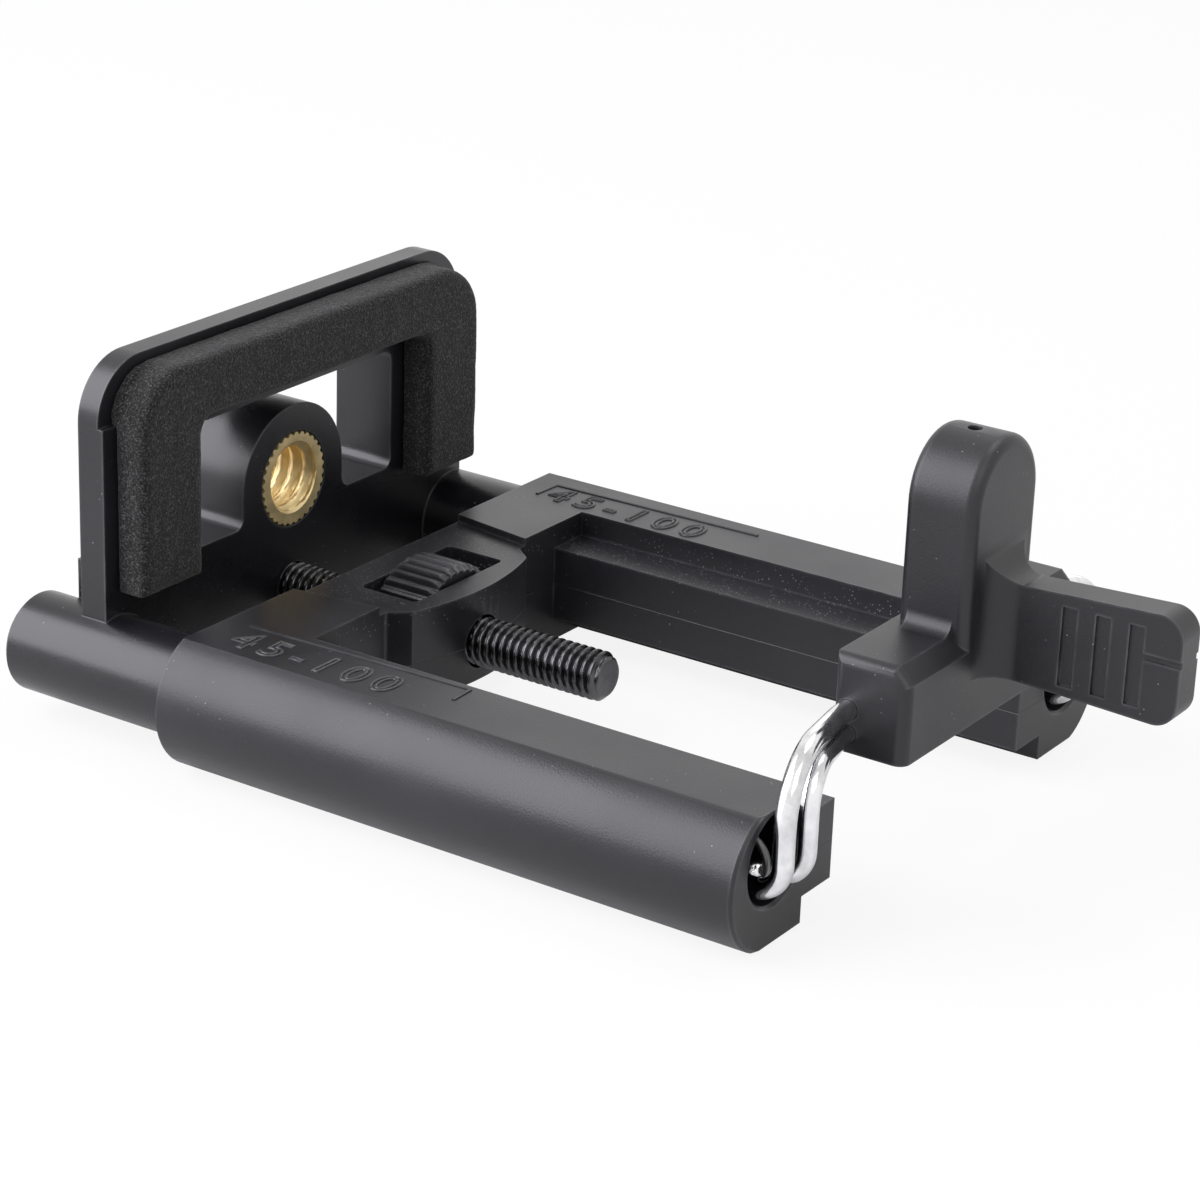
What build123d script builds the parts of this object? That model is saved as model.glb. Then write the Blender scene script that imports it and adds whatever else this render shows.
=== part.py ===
from build123d import *
import math
import os

# Tripod phone mount adapter, in millimetres.
# The origin is the centre of the tripod bush, on the mid-plane. The bush's axis is X.
# The jaw's back is at -X and the clip at +X, and the tubes lie level below.

# Tubes and rails of the frame
frame_back_x = 11.6
tube_length = 51.0
floor_z = -14.4
tube_height = 10.3
tube_y = 21.55
tube_radius = 5.65
tube_inner_wall_y = 17.75
rail_inner_y = 13.9
rail_height = 6.2
edge_break = 0.25
end_wall = 2.0
end_wall_above_hole = 0.45
end_hole_radius = 3.45
end_hole_lift = 1.8

# Bridge between the tubes, with the thumbwheel's slot
bridge_depth = 7.6
bridge_centre_drop = 0.65
bridge_step_y_back = 10.8
bridge_step_y_front = 9.65
bulge_floor_gap = 2.0
bulge_root_y = 8.9
bulge_crease_y = 7.6
bulge_crease_depth = 1.6
bulge_nose_depth = 2.9
bulge_root_fillet = 0.5
slot_inset = 5.45
slot_width = 5.4
slot_half_length = 5.85
slot_corner = 0.5

# Adjusting screw and thumbwheel
screw_radius = 2.0
screw_length = 36.0
screw_end_chamfer = 0.5
screw_head_flats = 7.0
screw_head_length = 2.8
screw_head_back_x = -1.9
screw_passage_radius = 2.2
wheel_radius = 5.6
wheel_width = 4.9
wheel_ribs = 36
wheel_rib_depth = 0.3
wheel_groove_width = 0.5
wheel_edge = 0.35
nut_clearance = 0.05

# Jaw: plate, window, boss, base and rods
plate_front_x = 2.9
plate_thickness = 2.5
plate_top = 15
plate_half_width = 22.8
plate_corner = 4.9
pad_seat_bottom = 10.1
pad_seat_depth = 0.5
jaw_back_x = -2.9
window_half_width = 12.9
window_sill = -2.5
window_top = 7.8
window_corner = 0.9
sleeve_wall = 2.0
boss_radius = 6.35
base_bottom = -13.4
base_half_width = 19.5
rod_radius = 4.0
rod_clearance = 0.06
rod_outer_end_x = -5.4
rod_engagement = 20.0
rod_edge = 0.4

# Threaded brass bush for a 1/4 inch tripod screw
insert_radius = 4.0
insert_flange = 0.9
insert_body_radius = 3.8
insert_teeth = 32
insert_tooth_depth = 0.2
insert_groove_width = 0.3
insert_hole_radius = 2.59
insert_mouth = 0.45

# Foam pad on the jaw
pad_thickness = 2.9
pad_half_width = 21.5
pad_inner_half_width = 14.3
pad_top = 14.3
pad_inner_top = 9.3
pad_bottom = -3.4
pad_corner = 5.0
pad_seat_corner = 4.1
pad_inner_corner = 1.2
pad_edge = 0.8

# Clip: bar, finger and pull tab
bar_overlap = 1.45
bar_depth = 6.05
bar_half_length = 12.7
bar_bottom = -3.1
bar_top = 4.1
bar_edge = 0.9
bar_slope = 1.2
finger_half_width = 4.8
finger_top = 17.9
finger_inset = 0.35
finger_edge = 0.9
finger_foot = 1.2
tip_hole_inset = 3.05
tip_hole_radius = 0.55
tip_hole_depth = 2.5
tab_length = 14.9
tab_half_thickness = 1.35
tab_root_fillet = 2.4
tab_root_margin = 0.05
tab_root_depth = 2.0
tab_root_bottom = 0.5
tab_end_bottom = -0.1
tab_root_top = 7.6
tab_end_top = 8.3
tab_corner = 1.8
tab_top_fillet = 2.6
tab_top_margin = 0.4
grip_grooves = 3
grip_pitch = 2.6
grip_middle_inset = 6.1
grip_groove_width = 1.15
grip_groove_height = 6.0
grip_groove_z = 3.95
grip_line_height = 0.5
grip_line_z = 4.8
grip_depth = 0.25

# Chrome wire loop, through the bar and into both tubes
wire_radius = 0.78
wire_bar_inset = 1.35
wire_leg_gap = 1.45
wire_upper_z = 0.1
wire_lower_z = -1.7
wire_tube_drop = 0.55
wire_hook_inset = 2.5
wire_leg_spacing = 3.0
wire_straight = 1.0
wire_bends = [12, 5, 2.2, 1.45, 1.45, 2.2, 3, 8]
wire_hole_clearance = 0.02

# Tension springs in the tubes, and the pins that anchor them
spring_pin_inset = 20.5
spring_pin_radius = 0.75
spring_pin_recess = 0.3
spring_pin_cover = 0.6
spring_wire_radius = 0.3
spring_radius = 2.2
coil_margin = 0.03
hook_angle = 68
hook_gap = 0.1

os.makedirs("parts", exist_ok=True)

# Places that several pieces share
tube_end_x = frame_back_x + tube_length
tube_top_z = floor_z + tube_height
axis_z = floor_z + tube_height / 2
bore_radius = rod_radius + rod_clearance
bridge_front_x = frame_back_x + bridge_depth
slot_centre_x = frame_back_x + slot_inset
spring_pin_x = tube_end_x - spring_pin_inset
wire_tube_z = axis_z - wire_tube_drop

# Frame, one moulding: tubes, rails and bridge
with BuildPart() as frame:
    with BuildSketch(Plane.YZ.offset(frame_back_x)):
        with Locations((tube_y, axis_z)):
            Circle(tube_radius)
            Rectangle(tube_radius, tube_height, align=(Align.MIN, Align.CENTER), mode=Mode.INTERSECT)
            Rectangle(tube_y - tube_inner_wall_y, tube_height, align=(Align.MAX, Align.CENTER))
        with Locations((tube_inner_wall_y, axis_z)):
            Rectangle(tube_inner_wall_y - rail_inner_y, rail_height, align=(Align.MAX, Align.CENTER))
    extrude(amount=tube_length)
    mirror(about=Plane.XZ)

    # The bridge's middle is lower than the tubes' tops, past two slanted steps
    bulge_top = tube_top_z - bridge_centre_drop
    bulge_bottom = floor_z + bulge_floor_gap
    bulge_crease_x = bridge_front_x + bulge_crease_depth
    with BuildSketch(Plane.XY.offset(floor_z)):
        with Locations((frame_back_x, 0)):
            Rectangle(bridge_depth, 2 * tube_inner_wall_y, align=(Align.MIN, Align.CENTER))
    extrude(amount=bulge_top - floor_z)
    with BuildSketch(Plane.XY.offset(bulge_top)):
        with BuildLine():
            Polyline(
                (frame_back_x, bridge_step_y_back),
                (bridge_front_x, bridge_step_y_front),
                (bridge_front_x, tube_inner_wall_y),
                (frame_back_x, tube_inner_wall_y),
                close=True,
            )
        make_face()
        mirror(about=Plane.XZ)
    extrude(amount=bridge_centre_drop)

    # Bowed front of the wheel's slot
    with BuildSketch(Plane.XY.offset(bulge_bottom)):
        with BuildLine():
            Polyline(
                (bulge_crease_x, -bulge_crease_y),
                (bridge_front_x, -bulge_root_y),
                (slot_centre_x, -bulge_root_y),
                (slot_centre_x, bulge_root_y),
                (bridge_front_x, bulge_root_y),
                (bulge_crease_x, bulge_crease_y),
            )
            ThreePointArc(
                (bulge_crease_x, bulge_crease_y),
                (bridge_front_x + bulge_nose_depth, 0),
                (bulge_crease_x, -bulge_crease_y),
            )
        make_face()
    extrude(amount=bulge_top - bulge_bottom)
    bulge_roots = frame.edges().filter_by(Axis.Z).filter_by_position(Axis.Y, -bulge_root_y, bulge_root_y)
    fillet(bulge_roots.filter_by_position(Axis.X, bridge_front_x, bridge_front_x), bulge_root_fillet)

    # Slot for the thumbwheel and passage for the screw
    with BuildSketch(Plane.XY.offset(floor_z)):
        with Locations((slot_centre_x, 0)):
            RectangleRounded(slot_width, 2 * slot_half_length, slot_corner)
    extrude(amount=tube_height, mode=Mode.SUBTRACT)
    with BuildSketch(Plane.YZ.offset(frame_back_x)):
        with Locations((0, axis_z)):
            Circle(screw_passage_radius)
    extrude(amount=tube_length, mode=Mode.SUBTRACT)

    # Bores for the jaw's rods, each with a smaller hole through the end wall for the wire
    with BuildSketch(Plane.YZ.offset(frame_back_x)):
        with Locations((tube_y, axis_z), (-tube_y, axis_z)):
            Circle(bore_radius)
    extrude(amount=tube_length - end_wall, mode=Mode.SUBTRACT)
    end_hole_highest_z = tube_top_z - end_wall_above_hole - end_hole_radius
    end_hole_z = min(wire_tube_z + end_hole_lift, end_hole_highest_z)
    with BuildSketch(Plane.YZ.offset(tube_end_x)):
        with Locations((tube_y, end_hole_z), (-tube_y, end_hole_z)):
            Circle(end_hole_radius)
    extrude(amount=-end_wall, mode=Mode.SUBTRACT)

    # Holes for the spring pins, from below and into the tubes' upper walls
    with BuildSketch(Plane.XY.offset(floor_z)):
        with Locations((spring_pin_x, tube_y), (spring_pin_x, -tube_y)):
            Circle(spring_pin_radius)
    extrude(amount=tube_height - spring_pin_cover, mode=Mode.SUBTRACT)
    chamfer(frame.faces().sort_by(Axis.X)[-2:].edges().filter_by(GeomType.CIRCLE), edge_break)
frame.part.label = "frame"
export_step(frame.part, "parts/frame.step")

# Thumbwheel: a ribbed M4 nut held in the bridge's slot
wheel_back_x = slot_centre_x - wheel_width / 2
with BuildPart() as thumbwheel:
    with BuildSketch(Plane.YZ.offset(wheel_back_x)):
        with Locations((0, axis_z)):
            Circle(wheel_radius)
    extrude(amount=wheel_width)
    chamfer(thumbwheel.edges().filter_by(GeomType.CIRCLE), wheel_edge)
    with BuildSketch(Plane.YZ.offset(wheel_back_x)):
        with Locations((0, axis_z)):
            with PolarLocations(wheel_radius, wheel_ribs):
                Rectangle(2 * wheel_rib_depth, wheel_groove_width)
    extrude(amount=wheel_width, mode=Mode.SUBTRACT)
    with BuildSketch(Plane.YZ.offset(wheel_back_x)):
        with Locations((0, axis_z)):
            Circle(screw_radius + nut_clearance)
    extrude(amount=wheel_width, mode=Mode.SUBTRACT)
thumbwheel.part.label = "thumbwheel"
export_step(thumbwheel.part, "parts/thumbwheel.step")

# Adjusting screw, moulded into the jaw by its hexagon head
screw_shoulder_x = screw_head_back_x + screw_head_length
with BuildPart() as adjusting_screw:
    with BuildSketch(Plane.YZ.offset(screw_head_back_x)):
        with Locations((0, axis_z)):
            RegularPolygon(screw_head_flats / 2, 6, major_radius=False)
    extrude(amount=screw_head_length)
    with BuildSketch(Plane.YZ.offset(screw_head_back_x)):
        with Locations((0, axis_z)):
            Circle(screw_radius)
    extrude(amount=screw_length)
    chamfer(adjusting_screw.faces().sort_by(Axis.X)[-1].edges(), screw_end_chamfer)
adjusting_screw.part.label = "adjusting_screw"
export_step(adjusting_screw.part, "parts/adjusting_screw.step")

# Jaw, one moulding
plate_back_x = plate_front_x - plate_thickness
jaw_depth = plate_front_x - jaw_back_x
with BuildPart() as jaw:
    with BuildSketch(Plane.YZ.offset(plate_back_x)) as plate_outline:
        with Locations((0, axis_z)):
            Rectangle(2 * plate_half_width, plate_top - axis_z, align=(Align.CENTER, Align.MIN))
        fillet(plate_outline.vertices().group_by(Axis.Y)[-1], plate_corner)
    extrude(amount=plate_thickness)

    # Sleeve round the window, and the base between the rods
    with BuildSketch(Plane.YZ.offset(jaw_back_x)) as sleeve_outline:
        with Locations((0, base_bottom)):
            Rectangle(
                2 * (window_half_width + sleeve_wall),
                window_top + sleeve_wall - base_bottom,
                align=(Align.CENTER, Align.MIN),
            )
        fillet(sleeve_outline.vertices().group_by(Axis.Y)[-1], window_corner + sleeve_wall)
        with Locations((0, base_bottom)):
            Rectangle(2 * base_half_width, window_sill - base_bottom, align=(Align.CENTER, Align.MIN))
    extrude(amount=jaw_depth)

    # The window, with the boss left standing on its sill
    with BuildSketch(Plane.YZ.offset(jaw_back_x)) as window:
        with Locations((0, window_sill)):
            Rectangle(2 * window_half_width, window_top - window_sill, align=(Align.CENTER, Align.MIN))
            Rectangle(
                2 * boss_radius,
                -window_sill,
                align=(Align.CENTER, Align.MIN),
                mode=Mode.SUBTRACT,
            )
        with Locations((0, 0)):
            Circle(boss_radius, mode=Mode.SUBTRACT)
        fillet(window.vertices().group_by(Axis.Y)[0], window_corner)
        fillet(window.vertices().group_by(Axis.Y)[-1], window_corner)
    extrude(amount=jaw_depth, mode=Mode.SUBTRACT)

    # Shallow seat for the pad's upper part
    with BuildSketch(Plane.YZ.offset(plate_front_x)):
        with Locations((0, pad_seat_bottom)):
            Rectangle(2 * plate_half_width, plate_top - pad_seat_bottom, align=(Align.CENTER, Align.MIN))
    extrude(amount=-pad_seat_depth, mode=Mode.SUBTRACT)

    # Rods
    rod_inner_end_x = frame_back_x + rod_engagement
    with BuildSketch(Plane.YZ.offset(rod_outer_end_x)):
        with Locations((tube_y, axis_z), (-tube_y, axis_z)):
            Circle(rod_radius)
    extrude(amount=rod_inner_end_x - rod_outer_end_x)
    chamfer(jaw.faces().sort_by(Axis.X)[:2].edges(), rod_edge)
    chamfer(jaw.faces().sort_by(Axis.X)[-2:].edges(), rod_edge)

    # Seats of the brass bush and of the screw
    with BuildSketch(Plane.YZ.offset(jaw_back_x)):
        with Locations((0, 0)):
            Circle(insert_radius)
    extrude(amount=jaw_depth, mode=Mode.SUBTRACT)
    with BuildSketch(Plane.YZ.offset(screw_head_back_x)):
        with Locations((0, axis_z)):
            RegularPolygon(screw_head_flats / 2, 6, major_radius=False)
    extrude(amount=screw_head_length, mode=Mode.SUBTRACT)
    with BuildSketch(Plane.YZ.offset(screw_shoulder_x)):
        with Locations((0, axis_z)):
            Circle(screw_radius)
    extrude(amount=plate_front_x - screw_shoulder_x, mode=Mode.SUBTRACT)
jaw.part.label = "jaw"
export_step(jaw.part, "parts/jaw.step")

# Brass bush: a knurled rim at each end of a plainer body
with BuildPart() as thread_insert:
    with BuildSketch(Plane.YZ.offset(jaw_back_x)):
        with Locations((0, 0)):
            Circle(insert_radius)
            with PolarLocations(insert_radius, insert_teeth):
                Rectangle(2 * insert_tooth_depth, insert_groove_width, mode=Mode.SUBTRACT)
    extrude(amount=jaw_depth)
    with BuildSketch(Plane.YZ.offset(jaw_back_x + insert_flange)):
        with Locations((0, 0)):
            Circle(insert_radius)
            Circle(insert_body_radius - insert_tooth_depth, mode=Mode.SUBTRACT)
    extrude(amount=jaw_depth - 2 * insert_flange, mode=Mode.SUBTRACT)
    with BuildSketch(Plane.YZ.offset(jaw_back_x)):
        with Locations((0, 0)):
            Circle(insert_hole_radius)
    extrude(amount=jaw_depth, mode=Mode.SUBTRACT)
    rim_circles = thread_insert.edges().filter_by(GeomType.CIRCLE).sort_by(SortBy.RADIUS)
    chamfer(rim_circles[:2], insert_mouth)
thread_insert.part.label = "thread_insert"
export_step(thread_insert.part, "parts/thread_insert.step")

# Foam pad: an inverted U, a little thicker where the plate's seat is
pad_front_x = plate_front_x + pad_thickness
with BuildPart() as jaw_pad:
    with BuildSketch(Plane.YZ.offset(plate_front_x)) as pad_outline:
        with Locations((0, pad_bottom)):
            Rectangle(2 * pad_half_width, pad_top - pad_bottom, align=(Align.CENTER, Align.MIN))
        fillet(pad_outline.vertices().group_by(Axis.Y)[-1], pad_corner)
    extrude(amount=pad_thickness)
    with BuildSketch(Plane.YZ.offset(plate_front_x - pad_seat_depth)) as seat_outline:
        with Locations((0, pad_seat_bottom)):
            Rectangle(2 * pad_half_width, pad_top - pad_seat_bottom, align=(Align.CENTER, Align.MIN))
        fillet(seat_outline.vertices().group_by(Axis.Y)[-1], pad_seat_corner)
    extrude(amount=pad_seat_depth)
    with BuildSketch(Plane.YZ.offset(plate_front_x - pad_seat_depth)) as pad_opening:
        with Locations((0, pad_bottom)):
            Rectangle(2 * pad_inner_half_width, pad_inner_top - pad_bottom, align=(Align.CENTER, Align.MIN))
        fillet(pad_opening.vertices().group_by(Axis.Y)[-1], pad_inner_corner)
    extrude(amount=pad_thickness + pad_seat_depth, mode=Mode.SUBTRACT)
    fillet(jaw_pad.faces().sort_by(Axis.X)[-1].edges(), pad_edge)
jaw_pad.part.label = "jaw_pad"
export_step(jaw_pad.part, "parts/jaw_pad.step")

# Pull tab, flaring at its root, with grip grooves on both sides
bar_back_x = tube_end_x - bar_overlap
bar_front_x = bar_back_x + bar_depth
tab_end_x = bar_front_x + tab_length
tab_root_half_width = tab_half_thickness + tab_root_fillet + tab_root_margin
tab_flare_top = tab_root_top + tab_top_fillet + tab_top_margin
with BuildPart() as pull_tab:
    with BuildSketch(Plane.XY.offset(tab_end_bottom)) as tab_section:
        with Locations((bar_front_x, 0)):
            Rectangle(tab_length, 2 * tab_half_thickness, align=(Align.MIN, Align.CENTER))
            Rectangle(tab_root_depth, 2 * tab_root_half_width, align=(Align.MAX, Align.CENTER))
        fillet(tab_section.vertices().group_by(Axis.X)[1].sort_by(Axis.Y)[1:-1], tab_root_fillet)
    extrude(amount=tab_flare_top - tab_end_bottom)
    with BuildSketch(Plane.XZ) as tab_side:
        with BuildLine():
            Polyline(
                (bar_front_x - tab_root_depth, tab_root_bottom),
                (bar_front_x, tab_root_bottom),
                (tab_end_x, tab_end_bottom),
                (tab_end_x, tab_end_top),
                (bar_front_x, tab_root_top),
                (bar_front_x, tab_flare_top),
                (bar_front_x - tab_root_depth, tab_flare_top),
                close=True,
            )
        make_face()
        fillet(tab_side.vertices().group_by(Axis.X)[-1], tab_corner)
        fillet(tab_side.vertices().group_by(Axis.X)[1].sort_by(Axis.Y)[1], tab_top_fillet)
    extrude(amount=tab_root_half_width, both=True, mode=Mode.INTERSECT)
    for side in (-1, 1):
        with BuildSketch(Plane.XZ.offset(side * tab_half_thickness)):
            with Locations((tab_end_x - grip_middle_inset, grip_groove_z)):
                with GridLocations(grip_pitch, grip_pitch, grip_grooves, 1):
                    Rectangle(grip_groove_width, grip_groove_height)
            with Locations((tab_end_x, grip_line_z)):
                Rectangle(
                    grip_middle_inset - grip_pitch,
                    grip_line_height,
                    align=(Align.MAX, Align.CENTER),
                )
        extrude(amount=-side * grip_depth, mode=Mode.SUBTRACT)

# Finger, round at its tip and soft at its edges
finger_back_x = bar_back_x + finger_inset
finger_base_z = bar_top - bar_slope
tip_centre_z = finger_top - finger_half_width
with BuildPart() as finger:
    with BuildSketch(Plane.YZ.offset(finger_back_x)):
        with Locations((0, tip_centre_z)):
            Circle(finger_half_width)
            Rectangle(
                2 * finger_half_width,
                tip_centre_z - finger_base_z,
                align=(Align.CENTER, Align.MAX),
            )
    extrude(amount=bar_front_x - finger_back_x)
    finger_outline = finger.faces().filter_by(Axis.X).edges()
    fillet(finger_outline.group_by(Axis.Z)[1:], finger_edge)
    with Locations((bar_back_x + tip_hole_inset, 0, finger_top)):
        Hole(tip_hole_radius, depth=tip_hole_depth)

# Clip, one moulding: bar, finger and pull tab
with BuildPart() as clip:
    with BuildSketch(Plane.XZ):
        with BuildLine():
            Polyline(
                (bar_back_x, bar_bottom),
                (bar_front_x, bar_bottom),
                (bar_front_x, finger_base_z),
                (bar_front_x - bar_slope, bar_top),
                (bar_back_x, bar_top),
                close=True,
            )
        make_face()
    extrude(amount=bar_half_length, both=True)
    bar_end_edges = clip.faces().filter_by(Axis.Y).edges()
    fillet(bar_end_edges.group_by(Axis.Z)[1:], bar_edge)

    # Concave feet of the finger on the bar
    with BuildSketch(Plane.YZ.offset(finger_back_x + finger_edge)):
        with Locations((finger_half_width, bar_top)):
            Rectangle(finger_foot, finger_foot, align=(Align.MIN, Align.MIN))
        with Locations((finger_half_width + finger_foot, bar_top + finger_foot)):
            Circle(finger_foot, mode=Mode.SUBTRACT)
        mirror(about=Plane.YZ)
    extrude(amount=bar_front_x - bar_slope - finger_back_x - finger_edge)
    add(finger.part)
    add(pull_tab.part)

    # Holes for the wire
    wire_bar_x = bar_back_x + wire_bar_inset
    with BuildSketch(Plane.XZ.offset(bar_half_length)):
        with Locations((wire_bar_x, wire_upper_z), (wire_bar_x, wire_lower_z)):
            Circle(wire_radius + wire_hole_clearance)
    extrude(amount=-2 * bar_half_length, mode=Mode.SUBTRACT)
clip.part.label = "clip"
export_step(clip.part, "parts/clip.step")

# Wire loop: one half of it is bent, and mirrored across the mid-plane
outer_leg_y = tube_y + wire_leg_spacing / 2
inner_leg_y = tube_y - wire_leg_spacing / 2
wire_leg_x = tube_end_x + wire_leg_gap
wire_hook_x = tube_end_x - wire_hook_inset
with BuildPart() as wire_loop:
    with BuildLine() as wire_path:
        FilletPolyline(
            (wire_bar_x, 0, wire_upper_z),
            (wire_bar_x, bar_half_length + wire_straight, wire_upper_z),
            (wire_leg_x, outer_leg_y, wire_upper_z),
            (wire_leg_x, outer_leg_y, wire_tube_z),
            (wire_hook_x, outer_leg_y, wire_tube_z),
            (wire_hook_x, inner_leg_y, wire_tube_z),
            (wire_leg_x, inner_leg_y, wire_tube_z),
            (wire_leg_x, inner_leg_y, wire_lower_z),
            (wire_bar_x, bar_half_length + wire_straight, wire_lower_z),
            (wire_bar_x, 0, wire_lower_z),
            radius=wire_bends,
        )
    for bend in wire_path.edges():
        with BuildSketch(Plane(origin=bend @ 0, z_dir=bend % 0)) as wire_section:
            Circle(wire_radius)
        if bend.geom_type == GeomType.LINE:
            extrude(amount=bend.length)
        else:
            axis_direction = bend.tangent_at(0).cross(bend.tangent_at(1))
            turn = bend.length / bend.radius
            revolve(axis=Axis(bend.arc_center, axis_direction), revolution_arc=math.degrees(turn))
    mirror(about=Plane.XZ)
wire_loop.part.label = "wire_loop"
export_step(wire_loop.part, "parts/wire_loop.step")

# Spring pins, across the two bores
with BuildPart() as spring_pins:
    with BuildSketch(Plane.XY.offset(floor_z + spring_pin_recess)):
        with Locations((spring_pin_x, tube_y), (spring_pin_x, -tube_y)):
            Circle(spring_pin_radius)
    extrude(amount=tube_height - spring_pin_cover - spring_pin_recess)
spring_pins.part.label = "spring_pins"
export_step(spring_pins.part, "parts/spring_pins.step")

# Tension springs: the close-wound coil is a sleeve here, with an open hook at each end.
# The wire's bend pulls at the hook's inside, and the coil stops short of it.
hook_reach = spring_radius - wire_radius - spring_wire_radius - hook_gap
spring_z = wire_tube_z + hook_reach * math.sin(math.radians(hook_angle))
wire_hook_centre_x = wire_hook_x - hook_reach * math.cos(math.radians(hook_angle))
pin_hook_centre_x = spring_pin_x - spring_pin_radius - hook_gap / 2 - spring_wire_radius + spring_radius
coil_end_x = wire_hook_x - wire_radius - hook_gap
for side, name in ((-1, "spring_near"), (1, "spring_far")):
    spring_y = side * tube_y
    with BuildPart() as spring:
        with BuildSketch(Plane.YZ.offset(pin_hook_centre_x)):
            with Locations((spring_y, spring_z)):
                Circle(spring_radius + spring_wire_radius + coil_margin)
                Circle(spring_radius - spring_wire_radius - coil_margin, mode=Mode.SUBTRACT)
        extrude(amount=coil_end_x - pin_hook_centre_x)
        with BuildSketch(Plane.XZ.offset(-spring_y)):
            with Locations((wire_hook_centre_x, spring_z)):
                Circle(spring_radius + spring_wire_radius)
                Circle(spring_radius - spring_wire_radius, mode=Mode.SUBTRACT)
                Rectangle(
                    2 * spring_radius,
                    3 * spring_radius,
                    align=(Align.MAX, Align.CENTER),
                    mode=Mode.SUBTRACT,
                )
            with Locations((wire_hook_centre_x, spring_z + spring_radius)):
                Rectangle(
                    wire_hook_centre_x - coil_end_x,
                    2 * spring_wire_radius,
                    align=(Align.MAX, Align.CENTER),
                )
        extrude(amount=spring_wire_radius, both=True)
        with BuildSketch(Plane.XY.offset(spring_z)):
            with Locations((pin_hook_centre_x, spring_y)):
                Circle(spring_radius + spring_wire_radius)
                Circle(spring_radius - spring_wire_radius, mode=Mode.SUBTRACT)
                Rectangle(
                    2 * spring_radius,
                    3 * spring_radius,
                    align=(Align.MIN, Align.CENTER),
                    mode=Mode.SUBTRACT,
                )
        extrude(amount=spring_wire_radius, both=True)
    spring.part.label = name
    export_step(spring.part, f"parts/{name}.step")
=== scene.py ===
import math

import bmesh
import bpy
from mathutils import Matrix, Vector, noise


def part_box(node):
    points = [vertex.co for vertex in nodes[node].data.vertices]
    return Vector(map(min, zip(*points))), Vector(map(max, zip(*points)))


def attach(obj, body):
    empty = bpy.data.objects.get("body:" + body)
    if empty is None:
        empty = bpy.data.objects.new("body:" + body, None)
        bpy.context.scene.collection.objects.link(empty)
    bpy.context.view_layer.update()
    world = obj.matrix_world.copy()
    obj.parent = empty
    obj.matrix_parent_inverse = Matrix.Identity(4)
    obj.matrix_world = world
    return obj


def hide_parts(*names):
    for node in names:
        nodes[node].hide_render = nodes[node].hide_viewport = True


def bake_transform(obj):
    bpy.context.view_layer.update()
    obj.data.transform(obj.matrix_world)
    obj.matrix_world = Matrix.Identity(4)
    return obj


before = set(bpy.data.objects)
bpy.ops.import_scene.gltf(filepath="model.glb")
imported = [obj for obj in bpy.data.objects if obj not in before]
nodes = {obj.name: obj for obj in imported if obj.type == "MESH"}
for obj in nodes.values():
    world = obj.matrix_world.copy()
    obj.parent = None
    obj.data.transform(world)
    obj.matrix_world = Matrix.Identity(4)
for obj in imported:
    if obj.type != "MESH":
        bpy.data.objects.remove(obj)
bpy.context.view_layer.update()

MM = 0.001
TURN = 2 * math.pi

# Places and sizes repeated from the part's source, in millimetres
AXIS_Z = -9.25
TUBE_TOP_Z = -4.1
WHEEL_CENTRE_X = 17.05
WHEEL_WIDTH = 4.9
WHEEL_RADIUS = 5.6
SCREW_END_X = 34.1
SCREW_SHOULDER_X = 0.9
SCREW_RADIUS = 2.0
SCREW_PITCH = 0.7
PLATE_FRONT_X = 2.9
JAW_BACK_X = -2.9
BUSH_RADIUS = 4.0
BUSH_HOLE_RADIUS = 2.59
BUSH_PITCH = 1.27
SPRING_RADIUS = 2.2
SPRING_WIRE_RADIUS = 0.3

# Sizes of the fine forms that only the scene has, in millimetres
EDGE_ROUNDING = 0.15
BUSH_FLANGE = 0.95
BUSH_NECK_RADIUS = 3.6
BUSH_MOUTH_RADIUS = 3.2
WHEEL_HOLE_RADIUS = 2.05
WHEEL_MOUTH_RADIUS = 2.6
WHEEL_RIBS = 36
WIRE_CLEARANCE = 0.5
NUMBER_LINE = 0.14
BRACKET_LINE = 0.13
MERGE_REACH = 0.0008


# Materials

def seen_directly(tree, by_eye=1.0, by_mirror=1.0):
    """A share for rays from the camera or through glass, one off mirrors, and 0 for bounced light."""
    path = tree.nodes.new("ShaderNodeLightPath")
    total = None
    shares = (("Is Camera Ray", by_eye), ("Is Transmission Ray", by_eye), ("Is Glossy Ray", by_mirror))
    for kind, share in shares:
        part = tree.nodes.new("ShaderNodeMath")
        part.operation = "MULTIPLY"
        part.inputs[1].default_value = share
        tree.links.new(path.outputs[kind], part.inputs[0])
        if total is None:
            total = part.outputs["Value"]
            continue
        larger = tree.nodes.new("ShaderNodeMath")
        larger.operation = "MAXIMUM"
        tree.links.new(total, larger.inputs[0])
        tree.links.new(part.outputs["Value"], larger.inputs[1])
        total = larger.outputs["Value"]
    return total


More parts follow.
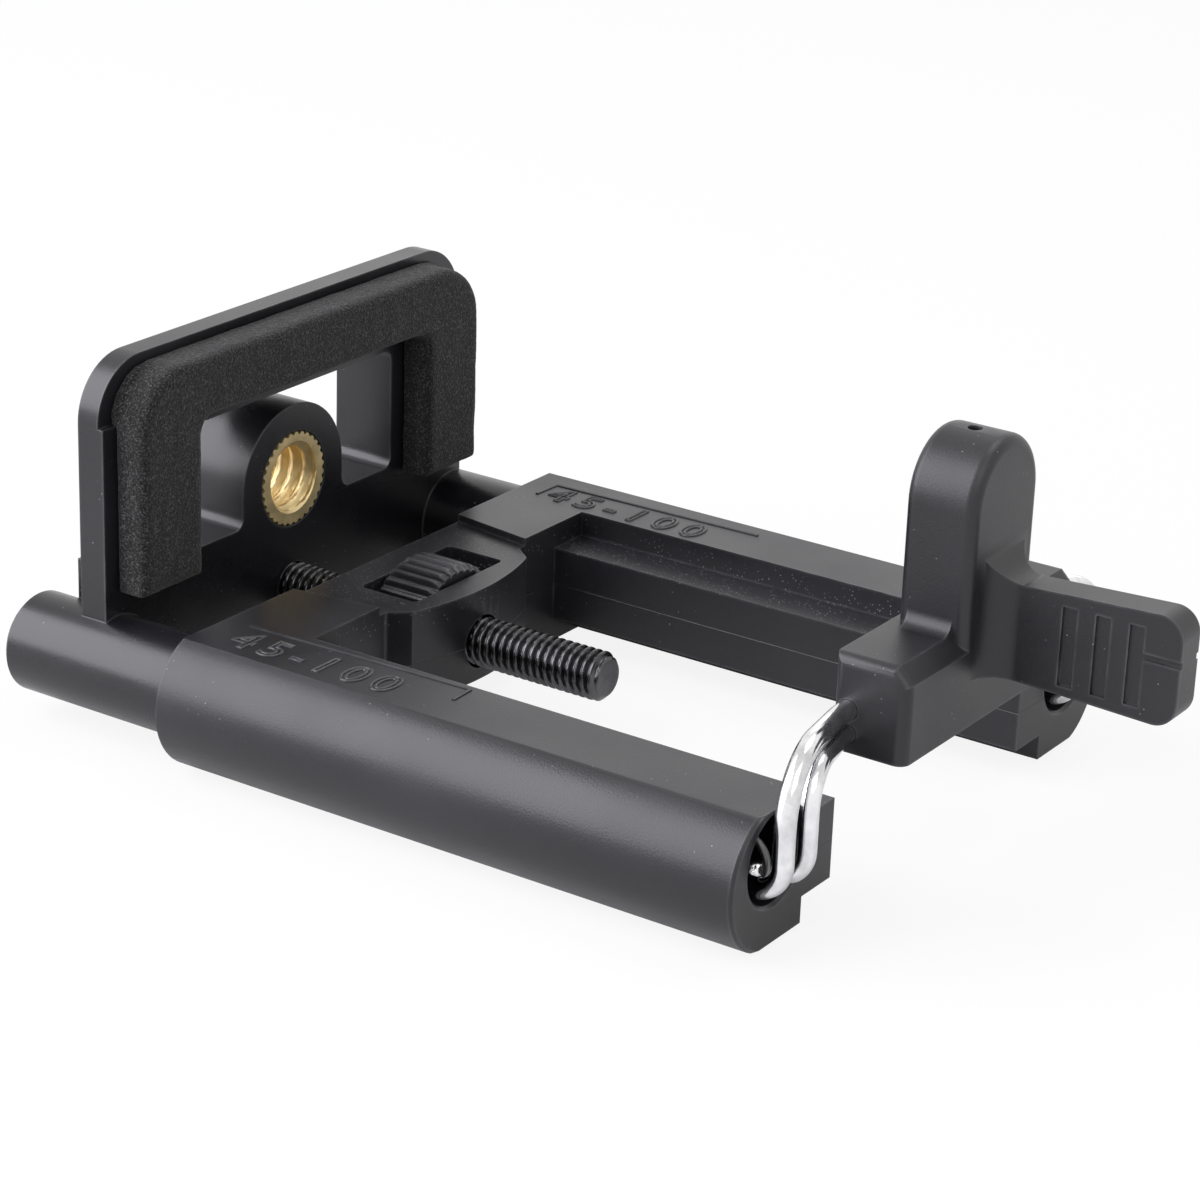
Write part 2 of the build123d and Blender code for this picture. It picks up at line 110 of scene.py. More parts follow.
class Paint:
    """A material and the shader nodes that are added to it one by one."""

    def __init__(self, name, colour, roughness, metallic=0.0, specular=0.5):
        self.material = bpy.data.materials.new(name)
        self.material.use_nodes = True
        self.tree = self.material.node_tree
        self.shader = self.tree.nodes["Principled BSDF"]
        self.shader.inputs["Base Color"].default_value = (*colour, 1)
        self.shader.inputs["Roughness"].default_value = roughness
        self.shader.inputs["Metallic"].default_value = metallic
        self.shader.inputs["Specular IOR Level"].default_value = specular
        self.where = self.add("ShaderNodeTexCoord").outputs["Object"]

    def add(self, kind, **settings):
        node = self.tree.nodes.new(kind)
        for name, value in settings.items():
            setattr(node, name, value)
        return node

    def join(self, source, target):
        self.tree.links.new(source, target)

    def place(self, axis):
        """The piece's own X, Y or Z, in metres."""
        node = self.add("ShaderNodeSeparateXYZ")
        self.join(self.where, node.inputs["Vector"])
        return node.outputs[axis]

    def noise(self, scale, detail=2.0, vector=None):
        """Noise on the piece's own coordinates; scale is in patches per millimetre."""
        node = self.add("ShaderNodeTexNoise")
        node.inputs["Scale"].default_value = scale / MM
        node.inputs["Detail"].default_value = detail
        self.join(vector or self.where, node.inputs["Vector"])
        return node.outputs["Fac"]

    def spots(self, scale):
        """Distance to the nearest of many scattered points; scale is in points per millimetre."""
        node = self.add("ShaderNodeTexVoronoi")
        node.inputs["Scale"].default_value = scale / MM
        self.join(self.where, node.inputs["Vector"])
        return node.outputs["Distance"]

    def stretched(self, x, y, z):
        """The piece's own coordinates, scaled along each axis."""
        node = self.add("ShaderNodeMapping")
        node.inputs["Scale"].default_value = (x, y, z)
        self.join(self.where, node.inputs["Vector"])
        return node.outputs["Vector"]

    def ramp(self, value, *stops):
        """Colours or greys for a value: stops are (position, colour)."""
        node = self.add("ShaderNodeValToRGB")
        places = node.color_ramp.elements
        while len(places) < len(stops):
            places.new(0.5)
        for place, (position, colour) in zip(places, stops):
            place.position = position
            shade = colour if isinstance(colour, tuple) else (colour,) * 3
            place.color = (*shade, 1)
        self.join(value, node.inputs["Fac"])
        return node.outputs["Color"]

    def spread(self, value, low, high, out_low, out_high):
        """The value, taken from one range to another and kept inside it."""
        node = self.add("ShaderNodeMapRange")
        ends = {"From Min": low, "From Max": high, "To Min": out_low, "To Max": out_high}
        for name, number in ends.items():
            node.inputs[name].default_value = number
        self.join(value, node.inputs["Value"])
        return node.outputs["Result"]

    def math(self, operation, first, second):
        node = self.add("ShaderNodeMath", operation=operation)
        for socket, value in zip(node.inputs, (first, second)):
            if isinstance(value, (int, float)):
                socket.default_value = value
            else:
                self.join(value, socket)
        return node.outputs["Value"]

    def mix(self, share, first, second, blend_type="MIX"):
        node = self.add("ShaderNodeMix", data_type="RGBA", blend_type=blend_type)
        sockets = (node.inputs["Factor"], node.inputs["A"], node.inputs["B"])
        for socket, value in zip(sockets, (share, first, second)):
            if isinstance(value, tuple):
                socket.default_value = (*value, 1)
            elif isinstance(value, float):
                socket.default_value = value
            else:
                self.join(value, socket)
        return node.outputs["Result"]

    def colour(self, value):
        self.join(value, self.shader.inputs["Base Color"])

    def roughness(self, value):
        self.join(value, self.shader.inputs["Roughness"])

    def bump(self, value, depth, strength=1.0, below=None):
        """Bump of a depth in millimetres, laid over another one."""
        node = self.add("ShaderNodeBump")
        node.inputs["Strength"].default_value = strength
        node.inputs["Distance"].default_value = depth * MM
        self.join(value, node.inputs["Height"])
        if below:
            self.join(below, node.inputs["Normal"])
        return node.outputs["Normal"]

    def normal(self, value):
        self.join(value, self.shader.inputs["Normal"])

    def shown_white(self, by_eye, by_mirror, fade_from, fade_to):
        """The camera and mirrors see a share of the surface as plain white, and all of it further out."""
        reach = self.add("ShaderNodeVectorMath", operation="LENGTH")
        self.join(self.where, reach.inputs[0])
        far = self.spread(reach.outputs["Value"], fade_from, fade_to, 0.0, 1.0)
        near_share = seen_directly(self.tree, by_eye, by_mirror)
        far_share = self.math("MULTIPLY", seen_directly(self.tree), far)
        seen = self.math("MAXIMUM", near_share, far_share)
        white = self.add("ShaderNodeEmission")
        mixed = self.add("ShaderNodeMixShader")
        self.join(seen, mixed.inputs["Fac"])
        self.join(self.shader.outputs["BSDF"], mixed.inputs[1])
        self.join(white.outputs["Emission"], mixed.inputs[2])
        self.join(mixed.outputs["Shader"], self.tree.nodes["Material Output"].inputs["Surface"])

    # The mask for the lighter edges, which are partly rubbed wear and partly a painted highlight
    def edge_wear_and_highlight(self, radius):
        """High where the surface turns within a radius in millimetres, as along an edge."""
        soft = self.add("ShaderNodeBevel", samples=4)
        soft.inputs["Radius"].default_value = radius * MM
        flat = self.add("ShaderNodeNewGeometry")
        likeness = self.add("ShaderNodeVectorMath", operation="DOT_PRODUCT")
        self.join(soft.outputs["Normal"], likeness.inputs[0])
        self.join(flat.outputs["Normal"], likeness.inputs[1])
        return self.spread(likeness.outputs["Value"], 1.0, 0.93, 0.0, 1.0)


# The moulded plastic's finish and its painted edge highlight, in millimetres
GRAIN_DEPTH = 0.02
# Lighter grey along the edges, partly rubbed wear and partly a painted highlight, and its width in
# millimetres
WEAR_AND_HIGHLIGHT_WIDTH = 0.3
WEAR_AND_HIGHLIGHT_GREY = (0.11, 0.11, 0.115)
DUST_GREY = (0.3, 0.3, 0.31)
PARTING_NARROW, PARTING_WIDE = 0.02, 0.07
PARTING_DEPTH = 0.03
BETWEEN_TUBES_Y = 18.0
DUSTY_LOW_Z, DUSTY_HIGH_Z = -6.2, -4.2


def loose_dust(paint):
    """A few pale specks, here and there on every face."""
    specks = paint.spread(paint.spots(1.2), 0.075, 0.045, 0.0, 1.0)
    patches = paint.spread(paint.noise(0.16), 0.5, 0.62, 0.0, 0.75)
    return paint.math("MULTIPLY", specks, patches)


def gathered_dust(paint):
    """The thicker dust in the corner above each tube's rail."""
    height = paint.place("Z")
    low = paint.spread(height, (DUSTY_LOW_Z - 0.1) * MM, DUSTY_LOW_Z * MM, 0.0, 1.0)
    high = paint.spread(height, (DUSTY_HIGH_Z - 0.8) * MM, DUSTY_HIGH_Z * MM, 1.0, 0.0)
    aside = paint.math("ABSOLUTE", paint.place("Y"), 0)
    between = paint.math("LESS_THAN", aside, BETWEEN_TUBES_Y * MM)
    there = paint.math("MULTIPLY", paint.math("MULTIPLY", low, high), between)
    specks = paint.spread(paint.spots(3.0), 0.2, 0.12, 0.0, 1.0)
    patches = paint.spread(paint.noise(0.35, detail=3), 0.36, 0.56, 0.0, 0.9)
    return paint.math("MULTIPLY", there, paint.math("MULTIPLY", specks, patches))


def parting_line(paint, z, below):
    """The fine line where the mould's halves met, at a height between the tubes."""
    away = paint.math("ABSOLUTE", paint.math("SUBTRACT", paint.place("Z"), z * MM), 0)
    aside = paint.math("ABSOLUTE", paint.place("Y"), 0)
    outside = paint.math("SUBTRACT", aside, BETWEEN_TUBES_Y * MM)
    away = paint.math("MAXIMUM", away, outside)
    line = paint.spread(away, PARTING_NARROW * MM, PARTING_WIDE * MM, 0.0, 1.0)
    return paint.bump(line, PARTING_DEPTH, 1.0, below=below)


def moulded_black(name, shade, gloss, parting_z=None):
    """Satin black moulded plastic: spark texture, handling marks, dust, and edges lightened partly as
    rubbed wear and partly as a painted highlight.

    The frame's has a parting line and gathered dust too.
    """
    paint = Paint(name, (shade, shade, shade * 1.2), gloss)
    mottle = paint.noise(0.09, detail=4)
    dark = (shade * 0.8, shade * 0.8, shade)
    light = (shade * 1.2, shade * 1.22, shade * 1.45)
    dull = paint.ramp(mottle, (0.35, dark), (0.7, light))
    wear_and_highlight_patches = paint.spread(paint.noise(0.5), 0.35, 0.7, 0.2, 0.7)
    # Painted highlight along the edges, laid over real rubbed wear
    rubbed_and_highlit = paint.math("MULTIPLY", paint.edge_wear_and_highlight(WEAR_AND_HIGHLIGHT_WIDTH), wear_and_highlight_patches)
    edged = paint.mix(rubbed_and_highlit, dull, WEAR_AND_HIGHLIGHT_GREY)
    dust = loose_dust(paint)
    relief = paint.bump(paint.noise(7.0, detail=2), GRAIN_DEPTH, 0.6)
    if parting_z is not None:
        dust = paint.math("MAXIMUM", dust, gathered_dust(paint))
        relief = parting_line(paint, parting_z, below=relief)
    paint.colour(paint.mix(dust, edged, DUST_GREY))
    paint.roughness(paint.spread(mottle, 0.3, 0.7, gloss - 0.05, gloss + 0.08))
    paint.normal(relief)
    return paint.material


def foam_black(name):
    """Soft black foam: open cells darkened by painted shade, paler specks at random and a dull nap."""
    paint = Paint(name, (0.02, 0.02, 0.02), 0.95, specular=0.25)
    cells = paint.spots(4.5)
    specks = paint.noise(6.5, detail=3)
    shade = paint.ramp(specks, (0.36, 0.001), (0.48, 0.011), (0.58, 0.03), (0.68, 0.085))
    # Painted shade: the colour darkens at each cell, as shade in the open pores
    pore_shade = paint.spread(cells, 0.08, 0.28, 0.12, 1.0)
    paint.colour(paint.mix(1.0, shade, pore_shade, blend_type="MULTIPLY"))
    paint.shader.inputs["Sheen Weight"].default_value = 0.12
    paint.shader.inputs["Sheen Roughness"].default_value = 0.6
    paint.normal(paint.bump(specks, 0.08, 0.7, below=paint.bump(cells, 0.07, 0.6)))
    return paint.material


def turned_metal(name, colour, roughness, marks=0.05, metallic=1.0):
    """Turned or rolled metal: fine lathe lines round the X axis and a little tarnish."""
    paint = Paint(name, colour, roughness, metallic=metallic)
    lines = paint.noise(1.0, detail=3, vector=paint.stretched(9, 0.6, 0.6))
    tarnish = paint.noise(0.5, detail=4)
    dark = tuple(channel * 0.62 for channel in colour)
    paint.colour(paint.ramp(tarnish, (0.3, dark), (0.62, colour)))
    paint.roughness(paint.spread(lines, 0.3, 0.7, roughness - marks, roughness + marks))
    paint.normal(paint.bump(lines, 0.01, 0.35))
    return paint.material


FRAME_BLACK = moulded_black("frame black", shade=0.013, gloss=0.34, parting_z=AXIS_Z)
JAW_BLACK = moulded_black("jaw black", shade=0.011, gloss=0.28)
CLIP_BLACK = moulded_black("clip black", shade=0.012, gloss=0.38)
WHEEL_BLACK = moulded_black("wheel black", shade=0.012, gloss=0.34)
FOAM_BLACK = foam_black("foam black")
BRASS = turned_metal("bush brass", (0.88, 0.70, 0.37), 0.45, metallic=0.85)
OXIDE = turned_metal("black oxide", (0.11, 0.11, 0.115), 0.27)
CHROME = turned_metal("bright wire", (0.86, 0.86, 0.87), 0.14, marks=0.04)
# The springs' steel is painted far darker than real steel: painted shade for the springs inside the tubes
SHADE_DARKENED_STEEL = turned_metal("spring steel darkened for shade", (0.22, 0.22, 0.22), 0.42)


# Making pieces

def piece(name, mesh, material, body, stands_for=()):
    """One finished piece: a mesh in place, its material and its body."""
    made = bpy.data.objects.new(name, mesh)
    bpy.context.scene.collection.objects.link(made)
    mesh.materials.clear()
    mesh.materials.append(material)
    if stands_for:
        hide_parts(*stands_for)
    if isinstance(body, str):
        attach(made, body)
    else:
        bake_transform(made)
    return made


def smoothed(mesh, degrees):
    """Smooth shading, with the edges sharper than that angle left sharp."""
    mesh.shade_smooth()
    mesh.set_sharp_from_angle(angle=math.radians(degrees))
    return mesh


def merged_copy(node):
    """A bmesh of a CAD node, its loose triangles joined and flat faces made whole."""
    shape = bmesh.new()
    shape.from_mesh(nodes[node].data)
    bmesh.ops.remove_doubles(shape, verts=shape.verts, dist=0.002 * MM)
    bmesh.ops.dissolve_limit(shape, angle_limit=math.radians(0.6), verts=shape.verts, edges=shape.edges)
    return shape


def plain_mesh(shape, name):
    """A new mesh with only the points and faces of a bmesh."""
    shape.verts.index_update()
    corners = [[v.index for v in face.verts] for face in shape.faces]
    mesh = bpy.data.meshes.new(name)
    mesh.from_pydata([v.co.copy() for v in shape.verts], [], corners)
    mesh.validate()
    shape.free()
    return mesh


def finished_mesh(carrier):
    """The object's mesh after its modifiers; the object and they are removed."""
    depsgraph = bpy.context.evaluated_depsgraph_get()
    result = bpy.data.meshes.new_from_object(carrier.evaluated_get(depsgraph))
    bpy.data.objects.remove(carrier)
    return result


def with_modifier(mesh, kind, **settings):
    """The mesh after one modifier."""
    carrier = bpy.data.objects.new("carrier", mesh)
    bpy.context.scene.collection.objects.link(carrier)
    modifier = carrier.modifiers.new(kind.lower(), kind)
    for name, value in settings.items():
        setattr(modifier, name, value)
    return finished_mesh(carrier)


def eased(node, name, kept_sharp=None):
    """A CAD node's shape with its sharp edges rounded, apart from those that kept_sharp names."""
    mesh = plain_mesh(merged_copy(node), name)
    shape = bmesh.new()
    shape.from_mesh(mesh)
    rounding = shape.edges.layers.float.new("bevel_weight_edge")
    for edge in shape.edges:
        if len(edge.link_faces) != 2 or edge.calc_face_angle() < math.radians(28):
            continue
        middle = (edge.verts[0].co + edge.verts[1].co) / 2 / MM
        if kept_sharp and kept_sharp(middle):
            continue
        edge[rounding] = 1.0
    shape.to_mesh(mesh)
    shape.free()
    rounded = with_modifier(
        mesh, "BEVEL", width=EDGE_ROUNDING * MM, segments=3, limit_method="WEIGHT",
        use_clamp_overlap=True, miter_outer="MITER_ARC",
    )
    return with_modifier(smoothed(rounded, 24), "WEIGHTED_NORMAL", keep_sharp=True)


class Tree:
    """A geometry node tree with named inputs for its sizes."""

    def __init__(self, name, **sizes):
        self.group = bpy.data.node_groups.new(name, "GeometryNodeTree")
        sockets = self.group.interface
        sockets.new_socket("Geometry", in_out="INPUT", socket_type="NodeSocketGeometry")
        sockets.new_socket("Geometry", in_out="OUTPUT", socket_type="NodeSocketGeometry")
        self.names = {}
        for label, value in sizes.items():
            kind = "NodeSocketInt" if isinstance(value, int) else "NodeSocketFloat"
            socket = sockets.new_socket(label.replace("_", " "), in_out="INPUT", socket_type=kind)
            socket.default_value = value
            self.names[label] = socket.identifier
        self.given = self.group.nodes.new("NodeGroupInput")
        self.result = self.group.nodes.new("NodeGroupOutput")

    def size(self, label):
        return self.given.outputs[label.replace("_", " ")]

    def add(self, kind, links=(), **settings):
        """A node; links gives each named input a socket or a value."""
        node = self.group.nodes.new(kind)
        for name, value in settings.items():
            setattr(node, name, value)
        for name, value in dict(links).items():
            self.feed(node.inputs[name], value)
        return node

    def feed(self, socket, value):
        if isinstance(value, bpy.types.NodeSocket):
            self.group.links.new(value, socket)
        else:
            socket.default_value = value

    def math(self, operation, *values):
        node = self.group.nodes.new("ShaderNodeMath")
        node.operation = operation
        for socket, value in zip(node.inputs, values):
            self.feed(socket, value)
        return node.outputs[0]

    def smooth_step(self, value, low, high):
        """0 below the low end, 1 above the high one, with a soft slope between."""
        ends = {"Value": value, "From Min": low, "From Max": high, "To Min": 0.0, "To Max": 1.0}
        return self.add("ShaderNodeMapRange", ends, interpolation_type="SMOOTHSTEP").outputs[0]

    def triangle_wave(self, phase):
        """1 where the phase is whole, 0 halfway."""
        part = self.math("FRACT", phase)
        return self.math("ABSOLUTE", self.math("SUBTRACT", self.math("MULTIPLY", part, 2.0), 1.0))

    def swept(self, curve, section):
        """A round section along a curve, closed at its ends."""
        ends = {"Curve": curve, "Profile Curve": section.outputs[0], "Fill Caps": True}
        return self.add("GeometryNodeCurveToMesh", ends).outputs[0]

    def finish(self, geometry, material):
        real = self.add("GeometryNodeRealizeInstances", {"Geometry": geometry})
        painted = self.add("GeometryNodeSetMaterial", {"Geometry": real.outputs[0], "Material": material})
        self.group.links.new(painted.outputs[0], self.result.inputs[0])

    def grow(self, name, **sizes):
        """The tree's mesh for these sizes."""
        carrier = bpy.data.objects.new("carrier", bpy.data.meshes.new("carrier"))
        bpy.context.scene.collection.objects.link(carrier)
        modifier = carrier.modifiers.new("nodes", "NODES")
        modifier.node_group = self.group
        for label, value in sizes.items():
            modifier[self.names[label]] = value
        mesh = finished_mesh(carrier)
        mesh.name = name
        return mesh


def turned_band_tree():
    """A band turned about a line along X, with a thread cut in it, teeth round it, or both.

    Its first and last rows step to an end radius, so that bands meet and close at their ends.
    """
    tree = Tree(
        "turned band",
        Start=0.0, Length=0.01, Radius=0.002, Centre_Z=0.0, Side=1.0,
        Thread_Depth=0.0, Pitch=0.001, Teeth=0, Tooth_Depth=0.0, Tooth_Share=0.5, Chamfer=0.0,
        Start_Radius=0.0, End_Radius=0.0, Around=64, Along=16,
    )
    math_, size = tree.math, tree.size
    columns = math_("ADD", size("Around"), 1.0)
    grid = tree.add(
        "GeometryNodeMeshGrid",
        {"Size X": 1.0, "Size Y": 1.0, "Vertices X": columns, "Vertices Y": size("Along")},
    )
    place = tree.add("ShaderNodeSeparateXYZ", {0: tree.add("GeometryNodeInputPosition").outputs[0]})
    turn = math_("ADD", place.outputs["X"], 0.5)
    last = math_("SUBTRACT", size("Along"), 1.0)
    row = math_("MULTIPLY", math_("ADD", place.outputs["Y"], 0.5), last)
    inner = math_("DIVIDE", math_("SUBTRACT", row, 1.0), math_("SUBTRACT", last, 2.0))
    share = tree.add("ShaderNodeClamp", {"Value": inner}).outputs[0]
    gone = math_("MULTIPLY", share, size("Length"))
    along = math_("ADD", size("Start"), gone)

    # Thread: a trapezium wave that climbs one pitch a turn
    climb = math_("SUBTRACT", math_("DIVIDE", along, size("Pitch")), turn)
    groove = tree.smooth_step(tree.triangle_wave(climb), 0.16, 0.86)
    thread = math_("MULTIPLY", groove, size("Thread_Depth"))

    # Teeth round the band
    notch = tree.triangle_wave(math_("MULTIPLY", turn, size("Teeth")))
    crest = math_("SUBTRACT", size("Tooth_Share"), 0.3)
    root = math_("ADD", size("Tooth_Share"), 0.35)
    teeth = math_("MULTIPLY", tree.smooth_step(notch, crest, root), size("Tooth_Depth"))

    # The band's radius, after the cuts and no further out than its chamfers
    side = size("Side")
    cut = math_("MULTIPLY", math_("ADD", thread, teeth), side)
    cut_radius = math_("SUBTRACT", size("Radius"), cut)
    from_end = math_("MINIMUM", gone, math_("SUBTRACT", size("Length"), gone))
    bite = math_("MAXIMUM", math_("SUBTRACT", size("Chamfer"), from_end), 0.0)
    limit = math_("SUBTRACT", size("Radius"), math_("MULTIPLY", bite, side))
    low = math_("MINIMUM", math_("MULTIPLY", cut_radius, side), math_("MULTIPLY", limit, side))
    band_radius = math_("MULTIPLY", low, side)

    # The end rows take the end radii
    at_start = math_("LESS_THAN", row, 0.5)
    at_end = math_("GREATER_THAN", row, math_("SUBTRACT", last, 0.5))
    between = math_("SUBTRACT", math_("SUBTRACT", 1.0, at_start), at_end)
    start_part = math_("MULTIPLY", at_start, size("Start_Radius"))
    end_part = math_("MULTIPLY", at_end, size("End_Radius"))
    radius = math_("ADD", math_("MULTIPLY", band_radius, between), math_("ADD", start_part, end_part))

    angle = math_("MULTIPLY", turn, TURN)
    y = math_("MULTIPLY", radius, math_("COSINE", angle))
    z = math_("ADD", math_("MULTIPLY", radius, math_("SINE", angle)), size("Centre_Z"))
    spot = tree.add("ShaderNodeCombineXYZ", {"X": along, "Y": y, "Z": z})
    bent = tree.add(
        "GeometryNodeSetPosition", {"Geometry": grid.outputs["Mesh"], "Position": spot.outputs[0]}
    )
    closed = tree.add(
        "GeometryNodeMergeByDistance", {"Geometry": bent.outputs[0], "Distance": 0.0005 * MM}
    )
    tree.finish(closed.outputs[0], BRASS)
    return tree


TURNED = turned_band_tree()
NOT_LENGTHS = {"Around", "Along", "Teeth", "Side", "Tooth_Share"}


def turned(name, *bands):
    """One mesh of several turned bands that meet at their ends; sizes in millimetres."""
    whole = bmesh.new()
    for band in bands:
        sizes = {label: value if label in NOT_LENGTHS else value * MM for label, value in band.items()}
        part = TURNED.grow(name, **sizes)
        whole.from_mesh(part)
        bpy.data.meshes.remove(part)
    bmesh.ops.remove_doubles(whole, verts=whole.verts, dist=MERGE_REACH * MM)
    bmesh.ops.recalc_face_normals(whole, faces=whole.faces)
    return smoothed(plain_mesh(whole, name), 35)


# Moulded bodies

GROOVES_LOW = (72, -1.4, 0.5)
GROOVES_HIGH = (81.9, 1.4, 7.4)


def in_grip_grooves(spot):
    """The tab's shallow grooves keep their crisp edges."""
    return all(low < place < high for low, place, high in zip(GROOVES_LOW, spot, GROOVES_HIGH))


piece("frame_body", eased("frame", "frame_body"), FRAME_BLACK, "frame", ["frame"])
piece("jaw_body", eased("jaw", "jaw_body"), JAW_BLACK, "jaw", ["jaw"])
clip_mesh = eased("clip", "clip_body", kept_sharp=in_grip_grooves)
piece("clip_body", clip_mesh, CLIP_BLACK, "clip", ["clip"])

for node, material in (("wire_loop", CHROME), ("spring_pins", SHADE_DARKENED_STEEL)):
    nodes[node].material_slots[0].material = material


# Turned pieces

def screw_thread():
    """The adjusting screw's threaded length."""
    return turned(
        "screw_thread",
        dict(
            Start=SCREW_SHOULDER_X, Length=SCREW_END_X - SCREW_SHOULDER_X, Radius=SCREW_RADIUS,
            Centre_Z=AXIS_Z, Thread_Depth=0.43, Pitch=SCREW_PITCH, Chamfer=0.5, Around=48, Along=520,
        ),
    )


def tripod_bush():
    """A bush with a knurled flange at each end, a plain neck between and a threaded hole."""
    length = PLATE_FRONT_X - JAW_BACK_X
    outer = dict(Side=1.0, Teeth=32, Around=192)
    flange = dict(outer, Length=BUSH_FLANGE, Radius=BUSH_RADIUS, Tooth_Depth=0.3, Chamfer=0.1, Along=8)
    return turned(
        "tripod_bush",
        dict(flange, Start=JAW_BACK_X, Start_Radius=BUSH_MOUTH_RADIUS, End_Radius=BUSH_NECK_RADIUS),
        dict(
            outer, Start=JAW_BACK_X + BUSH_FLANGE, Length=length - 2 * BUSH_FLANGE,
            Radius=BUSH_NECK_RADIUS, Along=5, Start_Radius=BUSH_NECK_RADIUS, End_Radius=BUSH_NECK_RADIUS,
        ),
        dict(
            flange, Start=PLATE_FRONT_X - BUSH_FLANGE, Start_Radius=BUSH_NECK_RADIUS,
            End_Radius=BUSH_MOUTH_RADIUS,
        ),
        dict(
            Side=-1.0, Start=JAW_BACK_X, Length=length, Radius=BUSH_HOLE_RADIUS, Thread_Depth=0.56,
            Pitch=BUSH_PITCH, Chamfer=0.32, Around=192, Along=60, Start_Radius=BUSH_MOUTH_RADIUS,
            End_Radius=BUSH_MOUTH_RADIUS,
        ),
    )


def ribbed_wheel():
    """The thumbwheel: ribs round its rim and a plain hole with chamfered mouths."""
    both = dict(
        Start=WHEEL_CENTRE_X - WHEEL_WIDTH / 2, Length=WHEEL_WIDTH, Centre_Z=AXIS_Z, Around=360,
        Start_Radius=WHEEL_MOUTH_RADIUS, End_Radius=WHEEL_MOUTH_RADIUS,
    )
    return turned(
        "ribbed_wheel",
        dict(
            both, Side=1.0, Radius=WHEEL_RADIUS, Teeth=WHEEL_RIBS, Tooth_Depth=0.55, Tooth_Share=0.5,
            Chamfer=0.4, Along=16,
        ),
        dict(both, Side=-1.0, Radius=WHEEL_HOLE_RADIUS, Chamfer=0.3, Along=6),
    )


piece("screw_thread", screw_thread(), OXIDE, "jaw", ["adjusting_screw"])
piece("tripod_bush", tripod_bush(), BRASS, "jaw", ["thread_insert"])
piece("ribbed_wheel", ribbed_wheel(), WHEEL_BLACK, "thumbwheel", ["thumbwheel"])

# Foam pad: its skin's unevenness, in millimetres and in patches per metre
FOAM_VOXEL = 0.22
PORE_HEIGHT, PORES_PER_METRE = 0.022, 2600
SWELL_HEIGHT, SWELLS_PER_METRE = 0.05, 500
HIGHEST_SKIN, SKIN_INSET = 0.03, 0.05


def foam_pad():
    """The pad with soft corners and an open, slightly uneven skin."""
    mesh = plain_mesh(merged_copy("jaw_pad"), "foam_pad")
    mesh = with_modifier(mesh, "REMESH", mode="VOXEL", voxel_size=FOAM_VOXEL * MM, adaptivity=0.0)
    shape = bmesh.new()
    shape.from_mesh(mesh)
    for _ in range(3):
        bmesh.ops.smooth_vert(
            shape, verts=shape.verts, factor=0.5, use_axis_x=True, use_axis_y=True, use_axis_z=True
        )
    shape.normal_update()
    for vert in shape.verts:
        pores = noise.noise(vert.co * PORES_PER_METRE) * PORE_HEIGHT
        swells = noise.noise(vert.co * SWELLS_PER_METRE) * SWELL_HEIGHT
        vert.co += vert.normal * (min(pores + swells, HIGHEST_SKIN) - SKIN_INSET) * MM
    shape.to_mesh(mesh)
    shape.free()
    mesh.shade_smooth()
    return mesh


pad = piece("foam_pad", foam_pad(), FOAM_BLACK, "jaw", ["jaw_pad"])


# Tension springs

def spring_tree():
    """A close-wound spring along X: the pin's hook lies flat and the wire's stands up."""
    tree = Tree(
        "tension spring", Start=0.04, Length=0.016, Hook_Start=0.06, Side_Y=0.0, Centre_Z=0.0,
        Radius=SPRING_RADIUS * MM, Wire=SPRING_WIRE_RADIUS * MM, Turns=24.0,
    )
    math_, size = tree.math, tree.size

    def moved(geometry, x, turned_by):
        place = tree.add("ShaderNodeCombineXYZ", {"X": x, "Y": size("Side_Y"), "Z": size("Centre_Z")})
        return tree.add(
            "GeometryNodeTransform",
            {"Geometry": geometry, "Translation": place.outputs[0], "Rotation": turned_by},
        ).outputs[0]

    radius = size("Radius")
    coil = tree.add(
        "GeometryNodeCurveSpiral",
        {"Resolution": 28, "Rotations": size("Turns"), "Start Radius": radius, "End Radius": radius,
         "Height": size("Length")},
    )
    quarter = math.radians(90)
    parts = [moved(coil.outputs[0], size("Start"), (0.0, quarter, 0.0))]

    # Each hook is an arc in the XY plane, and the wire's is then stood up
    for first_angle, x, tilt in ((quarter, size("Start"), 0.0), (-quarter, size("Hook_Start"), quarter)):
        arc = tree.add(
            "GeometryNodeCurveArc",
            {"Resolution": 24, "Radius": radius, "Start Angle": first_angle, "Sweep Angle": math.pi},
            mode="RADIUS",
        )
        parts.append(moved(arc.outputs[0], x, (tilt, 0.0, 0.0)))

    # The straight end that joins the coil's last turn to the wire's hook
    top = math_("ADD", size("Centre_Z"), radius)
    ends = [
        tree.add("ShaderNodeCombineXYZ", {"X": x, "Y": size("Side_Y"), "Z": top}).outputs[0]
        for x in (math_("ADD", size("Start"), size("Length")), size("Hook_Start"))
    ]
    line = tree.add("GeometryNodeCurvePrimitiveLine", {"Start": ends[0], "End": ends[1]})
    parts.append(line.outputs[0])

    lines = tree.add("GeometryNodeJoinGeometry")
    for geometry in parts:
        tree.group.links.new(geometry, lines.inputs[0])
    ring = tree.add("GeometryNodeCurvePrimitiveCircle", {"Resolution": 10, "Radius": size("Wire")})
    tree.finish(tree.swept(lines.outputs[0], ring), SHADE_DARKENED_STEEL)
    return tree


SPRINGS = spring_tree()
# How far apart the coil's turns lie, in wire radii: they all but touch
TURN_SPACING = 2.02

